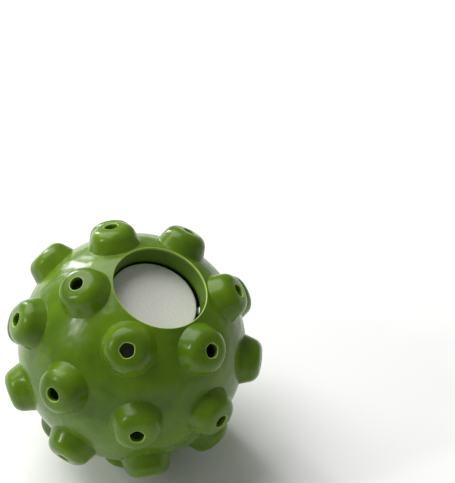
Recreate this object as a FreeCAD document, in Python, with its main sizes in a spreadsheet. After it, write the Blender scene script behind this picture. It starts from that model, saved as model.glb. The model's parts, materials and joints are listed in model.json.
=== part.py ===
import FreeCAD, Part
import math
import os

import Sketcher
from FreeCAD import Placement, Rotation, Vector

# Dryer ball: a hollow soft ball with nubs, a vent through each nub, and a sponge that is soaked with water.
# The ball is modelled with its mouth along +Z and is then leant over until it stands on three of its nubs.
# The origin is the centre of the ball, and +Z is up as it stands.

SIZES = {
    # lengths in millimetres
    "ball_radius": 39.2,  # outside of the round wall, without the nubs
    "wall": 1.8,
    "nub_height": 5.8,
    "nub_radius": 8.8,  # where the nub leaves the ball
    "vent_radius": 2.35,
    "vent_to_shoulder": 1.1,  # flat ring on a nub's top, from the vent to where the top rounds over
    "mouth_radius": 15.5,
    "collar_wall": 1.8,
    "collar_depth": 8.0,  # from the plane of the mouth's rim to the collar's lower end
    "rim_to_nub_gap": 0.7,  # along the wall, from the mouth's rim to the roots of the nubs around it
    "equator_to_nub_gap": 3.9,  # along the wall, from the equator to the roots of the nubs beside it
    "sponge_side_clearance": 0.5,  # between the sponge and the collar
    "sponge_drop": 0.1,  # from the collar's lower end down to the top of the sponge
    "sponge_seat_clearance": 0.3,  # between the sponge's lower edge and the wall that it stands on
    "sponge_rounding": 1.0,
    # angles in degrees
    "nub_draft": 18.0,
    "upper_half_turn": 25.0,  # how far the upper half's nubs are turned about the mouth from the lower half's
    # counts in each half of the ball
    "near_count": 6,  # nubs in the ring nearer the pole
    "far_count": 9,  # nubs in the ring nearer the equator
}

doc = FreeCAD.newDocument("dryer_ball")

sheet = doc.addObject("Spreadsheet::Sheet", "sizes")
for row, (alias, value) in enumerate(SIZES.items(), start=1):
    sheet.set(f"A{row}", alias)
    sheet.set(f"B{row}", str(value))
    sheet.setAlias(f"B{row}", alias)
doc.recompute()

# Lengths and angles that follow from the sizes, as expressions.
ROOT_HEIGHT = "sqrt(sizes.ball_radius ^ 2 - sizes.nub_radius ^ 2)"  # from the ball's centre to a nub's root
TIP_HEIGHT = "(sizes.ball_radius + sizes.nub_height)"
# The rounding that joins a nub's drafted side to the flat ring round its vent, tangent to both.
DRAFT = "(sizes.nub_draft * 1 deg)"
SHOULDER_WIDTH = "(sizes.nub_radius - sizes.vent_radius - sizes.vent_to_shoulder)"
TAPER = f"({TIP_HEIGHT} - {ROOT_HEIGHT}) * tan({DRAFT})"
NUB_ROUNDING = f"(({SHOULDER_WIDTH} - {TAPER}) * cos({DRAFT}) / (1 - sin({DRAFT})))"
RIM_HEIGHT = "sqrt(sizes.ball_radius ^ 2 - sizes.mouth_radius ^ 2)"
COLLAR_END = f"({RIM_HEIGHT} - sizes.collar_depth)"
SPONGE_RADIUS = "(sizes.mouth_radius - sizes.sponge_side_clearance)"
SPONGE_TOP = f"({COLLAR_END} - sizes.sponge_drop)"
SEAT_RADIUS = "(sizes.ball_radius - sizes.wall - sizes.sponge_seat_clearance - sizes.sponge_rounding)"
SEAT_REACH = f"({SPONGE_RADIUS} - sizes.sponge_rounding)"
SPONGE_BOTTOM = f"(sizes.sponge_rounding + sqrt({SEAT_RADIUS} ^ 2 - {SEAT_REACH} ^ 2))"

ARC_TO_ANGLE = "180 / pi / sizes.ball_radius"
NUB_SPREAD = "asin(sizes.nub_radius / sizes.ball_radius)"  # half the angle that a nub's root spans
MOUTH_SPREAD = "asin(sizes.mouth_radius / sizes.ball_radius)"
NEAR_POLAR = f"({MOUTH_SPREAD} + {NUB_SPREAD} + sizes.rim_to_nub_gap * {ARC_TO_ANGLE} * 1 deg)"
FAR_POLAR = f"(90 deg - {NUB_SPREAD} - sizes.equator_to_nub_gap * {ARC_TO_ANGLE} * 1 deg)"
LOWER_START = "(270 deg - 180 deg / sizes.near_count)"  # -Y is midway between two nubs of the lowest ring
UPPER_START = f"({LOWER_START} + sizes.upper_half_turn * 1 deg)"
# The ball leans until the bottom nub and two of the ring around it are equally far from straight down.
LEAN = f"atan((1 - cos({NEAR_POLAR})) / (sin({NEAR_POLAR}) * cos(180 deg / sizes.near_count)))"


def size(expression_text):
    """The number that an expression gives with the sheet's present sizes."""
    value = sheet.evalExpression(expression_text)
    return float(getattr(value, "Value", value))


def originFeature(body, role):
    return next(feature for feature in body.Origin.OriginFeatures if feature.Role == role)


def newSketch(body, name, plane_role, offset=None):
    """A sketch on one of the body's own origin planes, moved from it by an expression."""
    sketch = body.newObject("Sketcher::SketchObject", name)
    sketch.AttachmentSupport = [(originFeature(body, plane_role), "")]
    sketch.MapMode = "FlatFace"
    if offset:
        sketch.setExpression("AttachmentOffset", offset)
    return sketch


def drive(sketch, constraint, name, expression_text):
    """Add a constraint with a value, named, and bound to an expression."""
    index = sketch.addConstraint(constraint)
    sketch.renameConstraint(index, name)
    sketch.setExpression(f"Constraints.{name}", expression_text)


def closeLoop(sketch, count, smooth=()):
    """Join each edge's end to the next edge's start, tangent after the edges listed in smooth."""
    for edge in range(count):
        kind = "Tangent" if edge in smooth else "Coincident"
        sketch.addConstraint(Sketcher.Constraint(kind, edge, 2, (edge + 1) % count, 1))


def line(x1, y1, x2, y2):
    return Part.LineSegment(Vector(x1, y1, 0), Vector(x2, y2, 0))


def revolve(body, kind, name, sketch):
    """A full turn of a profile about the sketch's own vertical axis."""
    feature = body.newObject(f"PartDesign::{kind}", name)
    feature.Profile = sketch
    feature.ReferenceAxis = (sketch, ["V_Axis"])
    feature.Angle = 360
    return feature


def nubProfile(body, name, placement, hollow):
    """Half the outline of a nub, or of its hollow and vent, beside the sketch's vertical axis."""
    inset = "sizes.wall" if hollow else "0"
    sink = "sizes.wall * 2" if hollow else "sizes.wall"
    rounding_text = f"({NUB_ROUNDING} - {inset})"
    top_text = f"({TIP_HEIGHT} - {inset})"
    bottom_text = f"({ROOT_HEIGHT} - {sink})"
    bottom_radius_text = f"(sizes.nub_radius - {inset} + {sink} * tan({DRAFT}))"
    rounding, top = size(rounding_text), size(top_text)
    bottom, bottom_radius = size(bottom_text), size(bottom_radius_text)
    draft = math.radians(size("sizes.nub_draft"))
    shoulder_radius = bottom_radius - (top - rounding - bottom) * math.tan(draft)
    centre = Vector(shoulder_radius - rounding / math.cos(draft), top - rounding, 0)
    side_end = centre + rounding * Vector(math.cos(draft), math.sin(draft), 0)

    sketch = newSketch(body, name, "XZ_Plane", placement)
    arc = Part.ArcOfCircle(Part.Circle(centre, Vector(0, 0, 1), rounding), draft, math.pi / 2)
    edges = [line(0, bottom, bottom_radius, bottom), line(bottom_radius, bottom, side_end.x, side_end.y), arc]
    if hollow:
        vent, outside = size("sizes.vent_radius"), top + 3 * size("sizes.wall")
        edges += [line(centre.x, top, vent, top), line(vent, top, vent, outside)]
        edges += [line(vent, outside, 0, outside), line(0, outside, 0, bottom)]
    else:
        edges += [line(centre.x, top, 0, top), line(0, top, 0, bottom)]
    sketch.addGeometry(edges, False)
    axis_edge = len(edges) - 1
    closeLoop(sketch, len(edges), smooth=(1, 2))
    for edge in [0, 3] + ([5] if hollow else []):
        sketch.addConstraint(Sketcher.Constraint("Horizontal", edge))
    for edge in [axis_edge] + ([4] if hollow else []):
        sketch.addConstraint(Sketcher.Constraint("Vertical", edge))
    sketch.addConstraint(Sketcher.Constraint("PointOnObject", 0, 1, -2))
    drive(sketch, Sketcher.Constraint("DistanceY", -1, 1, 0, 1, bottom), "Bottom", bottom_text)
    drive(sketch, Sketcher.Constraint("DistanceY", -1, 1, 3, 1, top), "Top", top_text)
    drive(sketch, Sketcher.Constraint("DistanceX", 0, 1, 0, 2, bottom_radius), "Foot", bottom_radius_text)
    drive(sketch, Sketcher.Constraint("Radius", 2, rounding), "Rounding", rounding_text)
    drive(sketch, Sketcher.Constraint("Angle", 1, math.pi / 2 + draft), "Draft", f"90 deg + {DRAFT}")
    if hollow:
        drive(sketch, Sketcher.Constraint("DistanceX", 5, 2, 5, 1, vent), "Vent", "sizes.vent_radius")
        outside_text = f"{top_text} + 3 * sizes.wall"
        drive(sketch, Sketcher.Constraint("DistanceY", -1, 1, 5, 1, outside), "Outside", outside_text)
    return sketch


def addRing(body, name, polar, start, count, hollow):
    """A ring of nubs, or of the hollows inside them: one revolved feature, repeated about the mouth."""
    placement = f"placement(vector(0; 0; 0); rotationy({start}) * rotationz(-{polar}))"
    sketch = nubProfile(body, f"{name}_profile", placement, hollow)
    first = revolve(body, "Groove" if hollow else "Revolution", name, sketch)
    if count:
        pattern = body.newObject("PartDesign::PolarPattern", f"{name}_ring")
        pattern.Originals = [first]
        pattern.Axis = (originFeature(body, "Z_Axis"), [""])
        pattern.Angle = 360
        pattern.setExpression("Occurrences", f"sizes.{count}")
        body.Tip = pattern
    doc.recompute()


# Each ring of nubs: its name, its angle from the mouth's axis, the turn of its first nub, and its count.
RINGS = [
    ("upper_near", NEAR_POLAR, UPPER_START, "near_count"),
    ("upper_far", FAR_POLAR, UPPER_START, "far_count"),
    ("lower_far", f"(180 deg - {FAR_POLAR})", LOWER_START, "far_count"),
    ("lower_near", f"(180 deg - {NEAR_POLAR})", LOWER_START, "near_count"),
    ("bottom", "180 deg", "0 deg", None),
]


def halfDisc(body, name, radius_text):
    """Half a disc about the centre of the ball, its straight side on the mouth's axis."""
    sketch = newSketch(body, name, "XZ_Plane")
    radius = size(radius_text)
    arc = Part.ArcOfCircle(Part.Circle(Vector(), Vector(0, 0, 1), radius), -math.pi / 2, math.pi / 2)
    sketch.addGeometry([arc, line(0, radius, 0, -radius)], False)
    closeLoop(sketch, 2)
    sketch.addConstraint(Sketcher.Constraint("Coincident", 0, 3, -1, 1))
    sketch.addConstraint(Sketcher.Constraint("PointOnObject", 1, 1, -2))
    sketch.addConstraint(Sketcher.Constraint("Vertical", 1))
    drive(sketch, Sketcher.Constraint("Radius", 0, radius), "Radius", radius_text)
    return sketch


def plugProfile(body):
    """Half of a plug as wide as the collar, from the collar's lower end to the middle of the ball's wall."""
    sketch = newSketch(body, "collar_profile", "XZ_Plane")
    middle_text, outer_text = "sizes.ball_radius - sizes.wall / 2", "sizes.mouth_radius + sizes.collar_wall"
    middle, outer, end = size(middle_text), size(outer_text), size(COLLAR_END)
    corner = math.sqrt(middle**2 - outer**2)
    circle = Part.Circle(Vector(), Vector(0, 0, 1), middle)
    arc = Part.ArcOfCircle(circle, math.atan2(corner, outer), math.pi / 2)
    sides = [line(0, end, outer, end), line(outer, end, outer, corner), arc, line(0, middle, 0, end)]
    sketch.addGeometry(sides, False)
    closeLoop(sketch, 4)
    sketch.addConstraint(Sketcher.Constraint("Coincident", 2, 3, -1, 1))
    sketch.addConstraint(Sketcher.Constraint("Horizontal", 0))
    sketch.addConstraint(Sketcher.Constraint("Vertical", 1))
    sketch.addConstraint(Sketcher.Constraint("Vertical", 3))
    sketch.addConstraint(Sketcher.Constraint("PointOnObject", 0, 1, -2))
    drive(sketch, Sketcher.Constraint("Radius", 2, middle), "Middle", middle_text)
    drive(sketch, Sketcher.Constraint("DistanceX", 0, 1, 0, 2, outer), "Outer", outer_text)
    drive(sketch, Sketcher.Constraint("DistanceY", -1, 1, 0, 1, end), "End", COLLAR_END)
    return sketch


def buildShell():
    body = doc.addObject("PartDesign::Body", "shell")
    revolve(body, "Revolution", "ball", halfDisc(body, "ball_profile", "sizes.ball_radius"))
    doc.recompute()
    for name, polar, start, count in RINGS:
        addRing(body, f"{name}_nub", polar, start, count, hollow=False)

    revolve(body, "Groove", "cavity", halfDisc(body, "cavity_profile", "sizes.ball_radius - sizes.wall"))
    doc.recompute()
    for name, polar, start, count in RINGS:
        addRing(body, f"{name}_hollow", polar, start, count, hollow=True)

    # The plug fills the collar's place once the hollows are cut, and drilling the mouth leaves the collar.
    revolve(body, "Revolution", "collar_plug", plugProfile(body))
    doc.recompute()
    sketch = newSketch(body, "mouth_profile", "XY_Plane")
    radius_text = "sizes.mouth_radius"
    sketch.addGeometry(Part.Circle(Vector(), Vector(0, 0, 1), size(radius_text)), False)
    sketch.addConstraint(Sketcher.Constraint("Coincident", 0, 3, -1, 1))
    drive(sketch, Sketcher.Constraint("Radius", 0, size(radius_text)), "Radius", radius_text)
    mouth = body.newObject("PartDesign::Pocket", "mouth")
    mouth.Profile = sketch
    mouth.Reversed = True
    mouth.setExpression("Length", TIP_HEIGHT)
    doc.recompute()
    return body


def buildSponge():
    body = doc.addObject("PartDesign::Body", "sponge_core")
    placement = f"placement(vector(0; 0; -{SPONGE_BOTTOM}); rotationz(0 deg))"
    sketch = newSketch(body, "sponge_profile", "XY_Plane", placement)
    sketch.addGeometry(Part.Circle(Vector(), Vector(0, 0, 1), size(SPONGE_RADIUS)), False)
    sketch.addConstraint(Sketcher.Constraint("Coincident", 0, 3, -1, 1))
    drive(sketch, Sketcher.Constraint("Radius", 0, size(SPONGE_RADIUS)), "Radius", SPONGE_RADIUS)
    cylinder = body.newObject("PartDesign::Pad", "sponge_cylinder")
    cylinder.Profile = sketch
    cylinder.setExpression("Length", f"{SPONGE_BOTTOM} + {SPONGE_TOP}")
    doc.recompute()

    rounding = body.newObject("PartDesign::Fillet", "sponge_rounded_ends")
    edges = enumerate(cylinder.Shape.Edges, start=1)
    rims = [f"Edge{number}" for number, edge in edges if isinstance(edge.Curve, Part.Circle)]
    rounding.Base = (cylinder, rims)
    rounding.setExpression("Radius", "sizes.sponge_rounding")
    body.Tip = rounding
    doc.recompute()
    return body


parts = [buildShell(), buildSponge()]
for part in parts:
    part.Label = part.Name
    part.Placement = Placement(Vector(), Rotation(Vector(1, 0, 0), 0))
    part.setExpression("Placement.Rotation.Angle", LEAN)
doc.recompute()

for feature in doc.Objects:
    if "Invalid" in feature.State or "Error" in feature.State:
        raise RuntimeError(f"{feature.Name} did not build")
for part in parts:
    if part.Shape.isNull() or not part.Shape.isValid() or len(part.Shape.Solids) != 1:
        raise RuntimeError(f"{part.Label} is not one sound solid")

os.makedirs("parts", exist_ok=True)
for part in parts:
    part.Shape.exportStep(f"parts/{part.Label}.step")
    box = part.Shape.BoundBox
    print(f"{part.Label}: {part.Shape.Volume:.0f} mm3, "
          f"{box.XMin:.2f}..{box.XMax:.2f}, {box.YMin:.2f}..{box.YMax:.2f}, {box.ZMin:.2f}..{box.ZMax:.2f}")
print(f"lean {size(LEAN):.3f} degrees")
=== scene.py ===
import bmesh
import bpy
import json
import math
import random
from mathutils import Matrix, Vector, noise


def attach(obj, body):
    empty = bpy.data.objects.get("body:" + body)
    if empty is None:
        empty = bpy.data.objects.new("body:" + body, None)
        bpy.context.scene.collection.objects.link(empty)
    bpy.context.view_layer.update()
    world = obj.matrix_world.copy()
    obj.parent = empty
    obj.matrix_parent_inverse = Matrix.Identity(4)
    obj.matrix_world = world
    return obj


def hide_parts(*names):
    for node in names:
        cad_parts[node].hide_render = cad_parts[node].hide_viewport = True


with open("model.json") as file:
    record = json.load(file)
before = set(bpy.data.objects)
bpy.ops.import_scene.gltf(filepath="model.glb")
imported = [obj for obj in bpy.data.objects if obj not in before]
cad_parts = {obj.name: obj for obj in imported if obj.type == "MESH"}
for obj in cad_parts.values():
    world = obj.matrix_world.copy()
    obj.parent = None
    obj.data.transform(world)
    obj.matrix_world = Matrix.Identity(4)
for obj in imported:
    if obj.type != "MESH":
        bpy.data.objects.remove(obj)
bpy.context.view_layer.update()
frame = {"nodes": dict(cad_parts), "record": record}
mm = 0.001
print("frame loaded")

# what the frame says about the ball
mounts = {mount["name"]: mount for mount in frame["record"]["mounts"]}
mouthAxis = Vector(mounts["mouth"]["axis"]).normalized()
mouthRadius = mounts["mouth"]["dims"]["r_mm"] * mm
collarDepth = mounts["mouth"]["dims"]["length_mm"] * mm
rimHeight = Vector(mounts["mouth"]["pos_m"]).length + collarDepth / 2
ballRadius = math.hypot(rimHeight, mouthRadius)
tipHeight = -Vector(mounts["bottom_nub_face"]["pos_m"]).dot(mouthAxis)
floorHeight = mounts["stand"]["pos_m"][2]
# pieces are made with the mouth facing +Z, and this turns them to where they stand
standing = Matrix.Rotation(math.atan2(-mouthAxis.y, mouthAxis.z), 4, "X")


def linearColour(hexText):  # sRGB hex to the linear colour that a shader takes
    channels = [int(hexText[i:i + 2], 16) / 255 for i in (1, 3, 5)]
    return [c / 12.92 if c <= 0.04045 else ((c + 0.055) / 1.055) ** 2.4 for c in channels] + [1.0]


def addNode(tree, kind, settings=None, inputs=None):
    # settings are the node's own; an input is a value, or another node's output to link
    node = tree.nodes.new(kind)
    for name, value in (settings or {}).items():
        setattr(node, name, value)
    for name, value in (inputs or {}).items():
        if isinstance(value, bpy.types.NodeSocket):
            tree.links.new(value, node.inputs[name])
        else:
            node.inputs[name].default_value = value
    return node


def newMaterial(name):
    material = bpy.data.materials.new(name)
    material.use_nodes = True
    material.node_tree.nodes.clear()
    return material


def arc(centreX, centreZ, radius, startDegrees, endDegrees, steps):
    stepDegrees = (endDegrees - startDegrees) / steps
    turns = [math.radians(startDegrees + stepDegrees * i) for i in range(steps + 1)]
    return [(centreX + radius * math.cos(t), centreZ + radius * math.sin(t)) for t in turns]


def between(start, end, steps):  # points on the straight line, without its ends
    return [tuple(Vector(start).lerp(Vector(end), i / steps)) for i in range(1, steps)]


def joinedUp(stretches):  # one line through stretches of (points, steps to the first of them)
    line = []
    for points, steps in stretches:
        if line:
            line += between(line[-1], points[0], steps)
        line += points
    return line


def openCount(bm):
    return sum(not e.is_manifold for e in bm.edges)


def newPiece(name, bm, body, node, material):
    bmesh.ops.transform(bm, matrix=standing, verts=bm.verts)
    mesh = bpy.data.meshes.new(name)
    bm.to_mesh(mesh)
    bm.free()
    mesh.shade_smooth()
    mesh.materials.append(material)
    piece = bpy.data.objects.new(name, mesh)
    bpy.context.scene.collection.objects.link(piece)
    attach(piece, body)
    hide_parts(node)
    return piece


# the shell: one soft moulding, with nubs that are hollow from inside and a collar round the mouth

shell = {
    "wall": 1.8 * mm,
    "nubRadius": 8.65 * mm,      # where the side meets the ball
    "nubDraft": 18,              # degrees
    "ventToShoulder": 1.1 * mm,  # flat ring on the top, before it rounds over
    "nubCrown": 0.1 * mm,        # how far that ring falls towards the shoulder
    "rootFillet": 0.3 * mm,
    "hollowRadius": 5.6 * mm,    # inside the nub, where it opens into the ball
    "hollowRounding": 2.4 * mm,
    "hollowLip": 0.3 * mm,
    "ventRadius": 2.3 * mm,
    "ventLip": 0.2 * mm,
    "rimRounding": 0.25 * mm,
    "collarWall": 1.0 * mm,
    "collarFillet": 0.25 * mm,
    "rimToNub": 0.7 * mm,        # on the ball, from the rim to the nubs around it
    "equatorToNub": 3.9 * mm,    # on the ball, from the equator to the nubs beside it
    "nubFoot": 8.8 * mm,         # the radius that those two gaps are measured to
    "upperTurn": 25,             # degrees, the upper half's nubs against the lower half's
    "nearCount": 6,
    "farCount": 9,
    "ballDetail": 6,             # subdivisions of the round wall
    "skinDetail": 5,             # the same for the inside, which is hardly seen
    "weld": 0.75 * mm,           # points nearer than this round a cut hole become one
    "settleRings": 7,            # rings it takes to even out the spacing round a hole
    "nubLean": 0.8,              # degrees, how far a nub may stand off square
    "ventWander": 0.2 * mm,      # how far a punched hole may be off centre
    "ventWobble": 0.03,          # how far from round, as a share of its radius
    "wobbleWaves": (2, 3, 5),    # bulges round a vent
    "sag": 0.16 * mm,            # how far the soft wall sinks in places
    "sagSize": 17 * mm,
    "insideCut": 0.1,            # how pale the inside is, against a cut edge's 1
    "seed": 7,
}


def rootArc(sphereRadius, sideRadius, fillet, draft, steps):  # from the ball up onto a nub's side
    footHeight = math.sqrt(sphereRadius ** 2 - sideRadius ** 2)
    centreX, centreZ = sideRadius, footHeight
    for _ in range(6):  # closes in on the point that is one fillet from both
        centreX = sideRadius + fillet / math.cos(draft) - (centreZ - footHeight) * math.tan(draft)
        centreZ = math.sqrt((sphereRadius + fillet) ** 2 - centreX ** 2)
    onBall = math.degrees(math.atan2(-centreZ, -centreX))
    return arc(centreX, centreZ, fillet, onBall, -180 + math.degrees(draft), steps)


def nubProfile(s):  # over the nub, down its vent, and back inside to the ball's inner skin
    draft = math.radians(s["nubDraft"])
    tip = tipHeight - s["nubCrown"]
    footHeight = math.sqrt(ballRadius ** 2 - s["nubRadius"] ** 2)
    shoulderX = s["ventRadius"] + s["ventToShoulder"]
    sideShift = s["nubRadius"] - shoulderX - (tip - footHeight) * math.tan(draft)
    rounding = sideShift * math.cos(draft) / (1 - math.sin(draft))
    lipX = s["ventRadius"] + s["ventLip"]
    hollowTop = tipHeight - s["wall"]
    hollowX = s["hollowRadius"] - s["hollowRounding"]
    outside = joinedUp([
        (rootArc(ballRadius, s["nubRadius"], s["rootFillet"], draft, 4), 1),
        (arc(shoulderX, tip - rounding, rounding, s["nubDraft"], 88, 12), 3)])
    lip = arc(lipX, tipHeight - s["ventLip"], s["ventLip"], 90, 180, 3)
    lowerLip = arc(lipX, hollowTop + s["ventLip"], s["ventLip"], 180, 270, 2)
    inside = joinedUp([
        (arc(hollowX, hollowTop - s["hollowRounding"], s["hollowRounding"], 90, 0, 3), 1),
        (rootArc(ballRadius - s["wall"], s["hollowRadius"], s["hollowLip"], 0, 2)[::-1], 3)])
    besideLip = tuple(Vector(outside[-1]).lerp(Vector(lip[0]), 0.93))
    outside += between(outside[-1], lip[0], 3) + [besideLip]
    ventSide = between(lip[-1], lowerLip[0], 3) + lowerLip
    return outside, lip, ventSide + between(lowerLip[-1], inside[0], 2) + inside


def collarProfile(s):
    rimX = mouthRadius + s["rimRounding"]
    rimZ = math.sqrt((ballRadius - s["rimRounding"]) ** 2 - rimX ** 2)
    endRadius = s["collarWall"] / 2
    endZ = rimHeight - collarDepth + endRadius
    rootX = mouthRadius + s["collarWall"] + s["collarFillet"]
    rootZ = math.sqrt((ballRadius - s["wall"] - s["collarFillet"]) ** 2 - rootX ** 2)
    rim = arc(rimX, rimZ, s["rimRounding"], math.degrees(math.atan2(rimZ, rimX)), 180, 5)
    tube = joinedUp([
        (arc(mouthRadius + endRadius, endZ, endRadius, 180, 360, 6), 8),
        (arc(rootX, rootZ, s["collarFillet"], 180, math.degrees(math.atan2(rootZ, rootX)), 3), 5)])
    return rim, between(rim[-1], tube[0], 8) + tube


def nubPlaces(s):  # a matrix for each nub, from its own frame to the ball's
    spread = math.asin(s["nubFoot"] / ballRadius)
    near = math.asin(mouthRadius / ballRadius) + spread + s["rimToNub"] / ballRadius
    far = math.pi / 2 - spread - s["equatorToNub"] / ballRadius
    lowerStart = math.radians(270 - 180 / s["nearCount"])
    upperStart = lowerStart + math.radians(s["upperTurn"])
    rings = [
        (near, upperStart, s["nearCount"]),
        (far, upperStart, s["farCount"]),
        (math.pi - far, lowerStart, s["farCount"]),
        (math.pi - near, lowerStart, s["nearCount"]),
        (math.pi, 0, 1)]
    places = []
    for polar, start, count in rings:
        for i in range(count):
            turn = start + 2 * math.pi * i / count
            places.append(Matrix.Rotation(turn, 4, "Z") @ Matrix.Rotation(polar, 4, "Y"))
    return places


def openEdges(edges, axis, radius, height):  # those round one hole, height being along its axis
    def onHole(v):
        level = abs(v.co.dot(axis) - height) < 1e-6
        return level and abs((v.co - axis * height).length - radius) < 1e-5
    return [e for e in edges if e.is_boundary and onHole(e.verts[0]) and onHole(e.verts[1])]


def holedBall(radius, detail, holes, weld):  # holes are (axis, radius, height)
    bm = bmesh.new()
    bmesh.ops.create_icosphere(bm, subdivisions=detail, radius=radius)
    for axis, holeRadius, height in holes:
        bmesh.ops.bisect_plane(bm, geom=bm.verts[:] + bm.edges[:] + bm.faces[:], dist=1e-7,
                               plane_co=axis * height, plane_no=axis, clear_outer=True)
        rim = [v for v in bm.verts if v.is_boundary and abs(v.co.dot(axis) - height) < 1e-6]
        bmesh.ops.remove_doubles(bm, verts=rim, dist=weld)
        for v in rim:
            if v.is_valid:
                fromAxis = (v.co - axis * height).normalized()
                v.co = axis * height + fromAxis * holeRadius
    return bm


def pullRings(bm, rings, stretches, settle, layer):
    # draws rings of edges, all alike, along a profile; each stretch of it is its (radius, height)
    # points and the value they leave in the layer
    spots, edges = {}, []
    for number, (place, ring) in enumerate(rings):
        back = place.inverted()
        turns = {v: math.atan2((back @ v.co).y, (back @ v.co).x) for e in ring for v in e.verts}
        ordered = sorted(turns, key=turns.get)
        step = 2 * math.pi / len(ordered)
        start = sum(turns[v] - i * step for i, v in enumerate(ordered)) / len(ordered)
        for i, v in enumerate(ordered):
            spots[tuple(v.co)] = (number, turns[v], start + i * step)
        edges += ring
    pulled = [[] for _ in rings]
    drawn = 0
    for profile, cut in stretches:
        for radius, height in profile:
            made = bmesh.ops.extrude_edge_only(bm, edges=edges)["geom"]
            verts = [g for g in made if isinstance(g, bmesh.types.BMVert)]
            fresh = set(verts)
            edges = [g for g in made if isinstance(g, bmesh.types.BMEdge)
                     and fresh.issuperset(g.verts)]
            drawn += 1
            evened = min(1, drawn / settle)  # the spacing round each ring grows even on the way
            moved = {}
            for v in verts:
                number, was, even = spots[tuple(v.co)]
                turn = was + (even - was) * evened
                v.co = rings[number][0] @ Vector(
                    (radius * math.cos(turn), radius * math.sin(turn), height))
                v[layer] = cut
                pulled[number].append(v)
                moved[tuple(v.co)] = (number, was, even)
            spots = moved
    return pulled


def varyNub(verts, place, s, dice):  # no two nubs or punched holes are quite alike
    back = place.inverted()
    flat = s["ventRadius"] + 2 * s["ventToShoulder"]
    shift = Vector((dice.uniform(-1, 1), dice.uniform(-1, 1), 0)) * s["ventWander"]
    waves = [(n, dice.uniform(-1, 1) * s["ventWobble"], dice.uniform(0, 2 * math.pi))
             for n in s["wobbleWaves"]]
    lean = [math.radians(dice.uniform(-s["nubLean"], s["nubLean"])) for _ in range(2)]
    for v in verts:
        spot = back @ v.co
        reach = math.hypot(spot.x, spot.y)
        nearVent = min(1.0, max(0.0, (flat - reach) / (flat - s["ventRadius"])))
        if spot.z > tipHeight - s["wall"] - s["nubCrown"] and nearVent > 0:
            turn = math.atan2(spot.y, spot.x)
            bulge = sum(size * math.sin(n * turn + phase) for n, size, phase in waves)
            scale = 1 + nearVent * bulge
            spot = Vector((spot.x * scale, spot.y * scale, spot.z)) + shift * nearVent
        rise = max(0.0, spot.z - ballRadius)  # the root stays on the ball
        v.co = place @ (spot + Vector((lean[0] * rise, lean[1] * rise, 0)))


def buildShell(s, material):
    dice = random.Random(s["seed"])
    innerRadius = ballRadius - s["wall"]
    outside, lip, inside = nubProfile(s)
    rim, tube = collarProfile(s)
    up = Vector((0, 0, 1))
    places = nubPlaces(s)
    axes = [(place.to_3x3() @ up).normalized() for place in places]
    holes = []
    for end in (tube[-1], inside[-1]):
        reach = end[0] + s["hollowLip"]
        holes.append((reach, math.sqrt(innerRadius ** 2 - reach ** 2)))

    outerHoles = [(up, *rim[0])] + [(axis, *outside[0]) for axis in axes]
    innerHoles = [(up, *holes[0])] + [(axis, *holes[1]) for axis in axes]
    bm = holedBall(ballRadius, s["ballDetail"], outerHoles, s["weld"])
    skin = holedBall(innerRadius, s["skinDetail"], innerHoles, s["weld"])
    skinMesh = bpy.data.meshes.new("skin")
    skin.to_mesh(skinMesh)
    skin.free()
    bm.from_mesh(skinMesh)
    bpy.data.meshes.remove(skinMesh)
    # this layer marks the mouth's rim and the vent lips, which are painted paler: partly the cut
    # plastic's own colour, partly a painted highlight along those edges
    layer = bm.verts.layers.float.new("cutEdgeAndHighlight")
    print("shell: two skins cut for the mouth and", len(axes), "nubs")

    openRims = [e for e in bm.edges if e.is_boundary]
    mouth = [(Matrix.Identity(4), openEdges(openRims, up, *rim[0]))]
    pullRings(bm, mouth, [(rim[1:], 1.0), (tube, 0.0)], s["settleRings"], layer)
    nubs = [(place, openEdges(openRims, axis, *outside[0])) for place, axis in zip(places, axes)]
    stretches = [(outside[1:], 0.0), (lip, 1.0), (inside, s["insideCut"])]
    pulled = pullRings(bm, nubs, stretches, s["settleRings"], layer)
    for place, verts in zip(places, pulled):
        varyNub(verts, place, s, dice)
    openRims = [e for e in bm.edges if e.is_boundary]
    seams = [(up, tube[-1], holes[0])] + [(axis, inside[-1], holes[1]) for axis in axes]
    for axis, end, hole in seams:
        loops = openEdges(openRims, axis, *end) + openEdges(openRims, axis, *hole)
        bmesh.ops.bridge_loops(bm, edges=loops)
    bmesh.ops.recalc_face_normals(bm, faces=bm.faces)
    print("shell:", len(bm.faces), "faces,", openCount(bm), "open edges")

    for v in bm.verts:  # both skins sink together, so the wall keeps its thickness
        v.co -= v.co.normalized() * s["sag"] * (0.5 + 0.5 * noise.noise(v.co / s["sagSize"]))
    return newPiece("ball_shell", bm, "ball", "shell", material)


softPvc = {
    "green": "#63850b",
    "deepGreen": "#4a6a06",
    # the cut edges' pale colour, partly the cut plastic's own and partly a painted highlight on the
    # mouth's rim and the vent lips
    "cutGreenAndEdgeHighlight": "#a6c75c",
    "mottleSize": 12 * mm,      # slow colour changes through the melt
    "smudgeSize": 9 * mm,       # where it has been handled
    "noiseRange": (0.3, 0.7),   # the part of a noise that is spread from one end value to the other
    "roughness": (0.17, 0.32),
    "cutRoughness": 0.55,
    "specular": 0.25,
    "grainSize": 0.7 * mm,      # the mould's fine texture, coarser than it is so that it shows
    "grainRelief": 0.02 * mm,
    "grainStrength": 0.5,
    "dentSize": 6 * mm,         # slow unevenness from cooling
    "dentRelief": 0.42 * mm,
}


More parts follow.
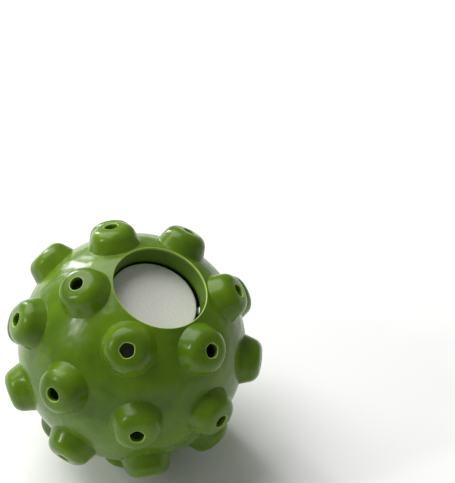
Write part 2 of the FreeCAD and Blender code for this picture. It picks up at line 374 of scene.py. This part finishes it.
def softPvcMaterial(p):
    # plasticised PVC, moulded: nearly even colour, glossy with soft wavy highlights, and paler and
    # matt where the vents and the mouth are cut; that paleness is partly the cut plastic's own
    # colour and partly a painted highlight along those edges
    lowNoise, highNoise = p["noiseRange"]
    material = newMaterial("soft_pvc_moulded_green")
    tree = material.node_tree
    place = addNode(tree, "ShaderNodeTexCoord").outputs["Object"]
    mottle = addNode(tree, "ShaderNodeTexNoise", inputs={
        "Vector": place, "Scale": 1 / p["mottleSize"], "Detail": 3.0, "Roughness": 0.5})
    spread = addNode(tree, "ShaderNodeMapRange", inputs={
        "Value": mottle.outputs["Fac"], "From Min": lowNoise, "From Max": highNoise})
    body = addNode(tree, "ShaderNodeMix", {"data_type": "RGBA"}, {
        0: spread.outputs["Result"], 6: linearColour(p["deepGreen"]), 7: linearColour(p["green"])})
    # the cut mask mixes in the pale edge colour, which is partly a painted highlight along the rim
    # and the vent lips
    cut = addNode(tree, "ShaderNodeAttribute", {"attribute_name": "cutEdgeAndHighlight"})
    colour = addNode(tree, "ShaderNodeMix", {"data_type": "RGBA"}, {
        0: cut.outputs["Fac"], 6: body.outputs[2], 7: linearColour(p["cutGreenAndEdgeHighlight"])})
    smudge = addNode(tree, "ShaderNodeTexNoise", inputs={
        "Vector": place, "Scale": 1 / p["smudgeSize"], "Detail": 5.0, "Roughness": 0.6})
    rough = addNode(tree, "ShaderNodeMapRange", inputs={
        "Value": smudge.outputs["Fac"], "From Min": lowNoise, "From Max": highNoise,
        "To Min": p["roughness"][0], "To Max": p["roughness"][1]})
    cutMatt = addNode(tree, "ShaderNodeMath", {"operation": "MULTIPLY"}, {
        0: cut.outputs["Fac"], 1: p["cutRoughness"]})
    roughCut = addNode(tree, "ShaderNodeMath", {"operation": "MAXIMUM"}, {
        0: rough.outputs["Result"], 1: cutMatt.outputs[0]})
    grain = addNode(tree, "ShaderNodeTexNoise", inputs={
        "Vector": place, "Scale": 1 / p["grainSize"], "Detail": 2.0})
    dents = addNode(tree, "ShaderNodeTexNoise", inputs={
        "Vector": place, "Scale": 1 / p["dentSize"], "Detail": 1.0})
    dented = addNode(tree, "ShaderNodeBump", inputs={
        "Distance": p["dentRelief"], "Height": dents.outputs["Fac"]})
    bump = addNode(tree, "ShaderNodeBump", inputs={
        "Strength": p["grainStrength"], "Distance": p["grainRelief"],
        "Height": grain.outputs["Fac"], "Normal": dented.outputs["Normal"]})
    surface = addNode(tree, "ShaderNodeBsdfPrincipled", inputs={
        "Base Color": colour.outputs[2], "Roughness": roughCut.outputs[0], "IOR": 1.53,
        "Specular IOR Level": p["specular"], "Normal": bump.outputs["Normal"]})
    addNode(tree, "ShaderNodeOutputMaterial", inputs={"Surface": surface.outputs["BSDF"]})
    return material


buildShell(shell, softPvcMaterial(softPvc))


# the sponge: a cut cylinder of fine white foam, which takes up the water

sponge = {
    "edge": 0.5 * mm,           # the cut edge is hardly rounded
    "lowerEdge": 1.0 * mm,      # pressed rounder where it stands on the wall
    "settled": 0.35 * mm,       # shorter for its own weight, so it clears the wall it stands on
    "offset": 0.34 * mm,        # it stands nearer to one side of the collar
    "offsetTurn": 128,          # degrees about the mouth's axis
    "around": 180,              # steps of the turned outline
    "ringGap": 0.8 * mm,
    "relief": 0.06 * mm,
    "cellSize": 1.1 * mm,
    "waveSize": 9 * mm,         # left by the cutting wire
    "cellShare": 0.6,           # of the relief; the waves have the rest
}


def buildSponge(s, material):
    spots = [v.co for v in frame["nodes"]["sponge_core"].data.vertices]
    heights = [spot.dot(mouthAxis) for spot in spots]
    reaches = [(spot - mouthAxis * height).length for spot, height in zip(spots, heights)]
    radius = max(reaches) - s["relief"]
    bottom, top = min(heights) + s["settled"], max(heights) - s["relief"]
    edge, lowerEdge = s["edge"], s["lowerEdge"]
    topArc = arc(radius - edge, top - edge, edge, 90, 0, 5)
    bottomArc = arc(radius - lowerEdge, bottom + lowerEdge, lowerEdge, 0, -90, 5)
    across = round(radius / s["ringGap"])
    down = round((top - bottom) / s["ringGap"])
    outline = joinedUp([
        ([(0, top)], 1), (topArc, across), (bottomArc, down), ([(0, bottom)], across)])
    bm = bmesh.new()
    verts = [bm.verts.new((x, 0, z)) for x, z in outline]
    edges = [bm.edges.new(pair) for pair in zip(verts, verts[1:])]
    bmesh.ops.spin(bm, geom=verts + edges, cent=(0, 0, 0), axis=(0, 0, 1), dvec=(0, 0, 0),
                   angle=2 * math.pi, steps=s["around"], use_merge=True)
    bmesh.ops.remove_doubles(bm, verts=bm.verts, dist=1e-6)
    bmesh.ops.recalc_face_normals(bm, faces=bm.faces)
    bm.normal_update()
    for v in bm.verts:
        cells = noise.noise(v.co / s["cellSize"]) * s["cellShare"]
        waves = noise.noise(v.co / s["waveSize"]) * (1 - s["cellShare"])
        v.co += v.normal * s["relief"] * (cells + waves)
    turn = math.radians(s["offsetTurn"])
    aside = (s["offset"] * math.cos(turn), s["offset"] * math.sin(turn), 0)
    bmesh.ops.translate(bm, vec=aside, verts=bm.verts)
    print("sponge:", len(bm.faces), "faces,", openCount(bm), "open edges")
    return newPiece("sponge_foam", bm, "sponge", "sponge_core", material)


foam = {
    "white": "#e2e2da",
    # the pores' darker colour is painted shade in them, not a different foam colour
    "shade": "#cdcdc2",         # in the pores
    "poreSize": 0.55 * mm,
    "poreRange": (0.08, 0.4),   # from a pore's middle to its edge, as a share of its size
    "cellSize": 1.4 * mm,
    "bumpRelief": 0.06 * mm,
    "bumpStrength": 0.25,
    "roughness": 0.92,
    "specular": 0.2,
    "glow": 0.15,               # light that enters the foam and comes out again
    "glowDepth": 1.5 * mm,
}


def foamMaterial(p):  # fine cellular sponge, wire cut: quite matt, with small darker pores
    material = newMaterial("sponge_foam_white")
    tree = material.node_tree
    place = addNode(tree, "ShaderNodeTexCoord").outputs["Object"]
    pores = addNode(tree, "ShaderNodeTexVoronoi", inputs={
        "Vector": place, "Scale": 1 / p["poreSize"]})
    cells = addNode(tree, "ShaderNodeTexNoise", inputs={
        "Vector": place, "Scale": 1 / p["cellSize"], "Detail": 4.0})
    solid = addNode(tree, "ShaderNodeMapRange", inputs={
        "Value": pores.outputs["Distance"],
        "From Min": p["poreRange"][0], "From Max": p["poreRange"][1]})
    # painted shade in the pores: each pore's middle is darkened towards the shade colour
    colour = addNode(tree, "ShaderNodeMix", {"data_type": "RGBA"}, {
        0: solid.outputs["Result"], 6: linearColour(p["shade"]), 7: linearColour(p["white"])})
    height = addNode(tree, "ShaderNodeMath", {"operation": "ADD"}, {
        0: solid.outputs["Result"], 1: cells.outputs["Fac"]})
    bump = addNode(tree, "ShaderNodeBump", inputs={
        "Strength": p["bumpStrength"], "Distance": p["bumpRelief"], "Height": height.outputs[0]})
    surface = addNode(tree, "ShaderNodeBsdfPrincipled", inputs={
        "Base Color": colour.outputs[2], "Roughness": p["roughness"], "IOR": 1.45,
        "Specular IOR Level": p["specular"], "Subsurface Weight": p["glow"],
        "Subsurface Radius": (1.0, 1.0, 0.9), "Subsurface Scale": p["glowDepth"],
        "Normal": bump.outputs["Normal"]})
    addNode(tree, "ShaderNodeOutputMaterial", inputs={"Surface": surface.outputs["BSDF"]})
    return material


spongeFoam = buildSponge(sponge, foamMaterial(foam))


# the studio: a pale floor, soft lights and the camera

studio = {
    "floorColour": "#fbfbfa",
    "floorSize": 6.0,
    "floorRoughness": 0.9,
    "worldColour": "#ffffff",
    "worldStrength": 0.24,
    "azimuth": -43.46,          # degrees, of the camera about the ball
    "elevation": 42.26,
    "roll": 3.47,
    "distance": 0.3345,
    "lens": 71.0,
    "sensor": 36,
    "nearest": 0.01,            # what is nearer to the camera isn't drawn
    "aimRight": 0.03378,        # from the ball's centre to the middle of the picture
    "aimUp": 0.03579,
    # name, degrees from the camera's direction, degrees in the picture anticlockwise from
    # its right, distance, width, height, watts
    "softboxes": [
        ("window", 112, 124, 0.9, 0.09, 0.34, 3.0),
        ("ceiling", 74, 112, 1.1, 1.0, 1.0, 13),
        ("front_left", 59, 162, 0.8, 0.05, 0.2, 1.3),
    ],
}


def cameraFrame(s):  # towards the camera, its right and its up
    azimuth, elevation = math.radians(s["azimuth"]), math.radians(s["elevation"])
    toCamera = Vector((
        math.sin(azimuth) * math.cos(elevation),
        -math.cos(azimuth) * math.cos(elevation),
        math.sin(elevation)))
    right = Vector((0, 0, 1)).cross(toCamera).normalized()
    return toCamera, right, toCamera.cross(right)


def pointAt(thing, place, target):
    thing.location = place
    thing.rotation_euler = (target - place).to_track_quat("-Z", "Y").to_euler()


def addSoftbox(view, name, offView, turn, distance, width, height, power):
    toCamera, right, up = view
    tilt, swing = math.radians(offView), math.radians(turn)
    aside = math.cos(swing) * right + math.sin(swing) * up
    place = distance * (math.cos(tilt) * toCamera + math.sin(tilt) * aside)
    light = bpy.data.lights.new(name, "AREA")
    light.shape = "RECTANGLE"
    light.size, light.size_y, light.energy = width, height, power
    lamp = bpy.data.objects.new(name, light)
    bpy.context.scene.collection.objects.link(lamp)
    pointAt(lamp, place, Vector((0, 0, 0)))


def buildStudio(s):
    bm = bmesh.new()
    bmesh.ops.create_grid(bm, x_segments=1, y_segments=1, size=s["floorSize"] / 2)
    bmesh.ops.translate(bm, vec=(0, 0, floorHeight), verts=bm.verts)
    mesh = bpy.data.meshes.new("floor")
    bm.to_mesh(mesh)
    bm.free()
    floor = bpy.data.objects.new("floor", mesh)
    bpy.context.scene.collection.objects.link(floor)
    paper = newMaterial("studio_paper")
    surface = addNode(paper.node_tree, "ShaderNodeBsdfPrincipled", inputs={
        "Base Color": linearColour(s["floorColour"]), "Roughness": s["floorRoughness"]})
    addNode(paper.node_tree, "ShaderNodeOutputMaterial", inputs={
        "Surface": surface.outputs["BSDF"]})
    mesh.materials.append(paper)

    world = bpy.data.worlds.new("studio")
    world.use_nodes = True
    world.node_tree.nodes.clear()
    sky = addNode(world.node_tree, "ShaderNodeBackground", inputs={
        "Color": linearColour(s["worldColour"]), "Strength": s["worldStrength"]})
    addNode(world.node_tree, "ShaderNodeOutputWorld", inputs={
        "Surface": sky.outputs["Background"]})
    bpy.context.scene.world = world

    view = cameraFrame(s)
    for softbox in s["softboxes"]:
        addSoftbox(view, *softbox)

    toCamera, right, up = view
    camera = bpy.data.objects.new("camera", bpy.data.cameras.new("camera"))
    bpy.context.scene.collection.objects.link(camera)
    camera.data.lens = s["lens"]
    camera.data.sensor_width = s["sensor"]
    camera.data.clip_start = s["nearest"]
    aim = s["aimRight"] * right + s["aimUp"] * up
    pointAt(camera, s["distance"] * toCamera, aim)
    camera.rotation_euler.rotate_axis("Z", math.radians(s["roll"]))
    bpy.context.scene.camera = camera
    bpy.context.scene.view_settings.view_transform = "Standard"


buildStudio(studio)
print("studio ready")
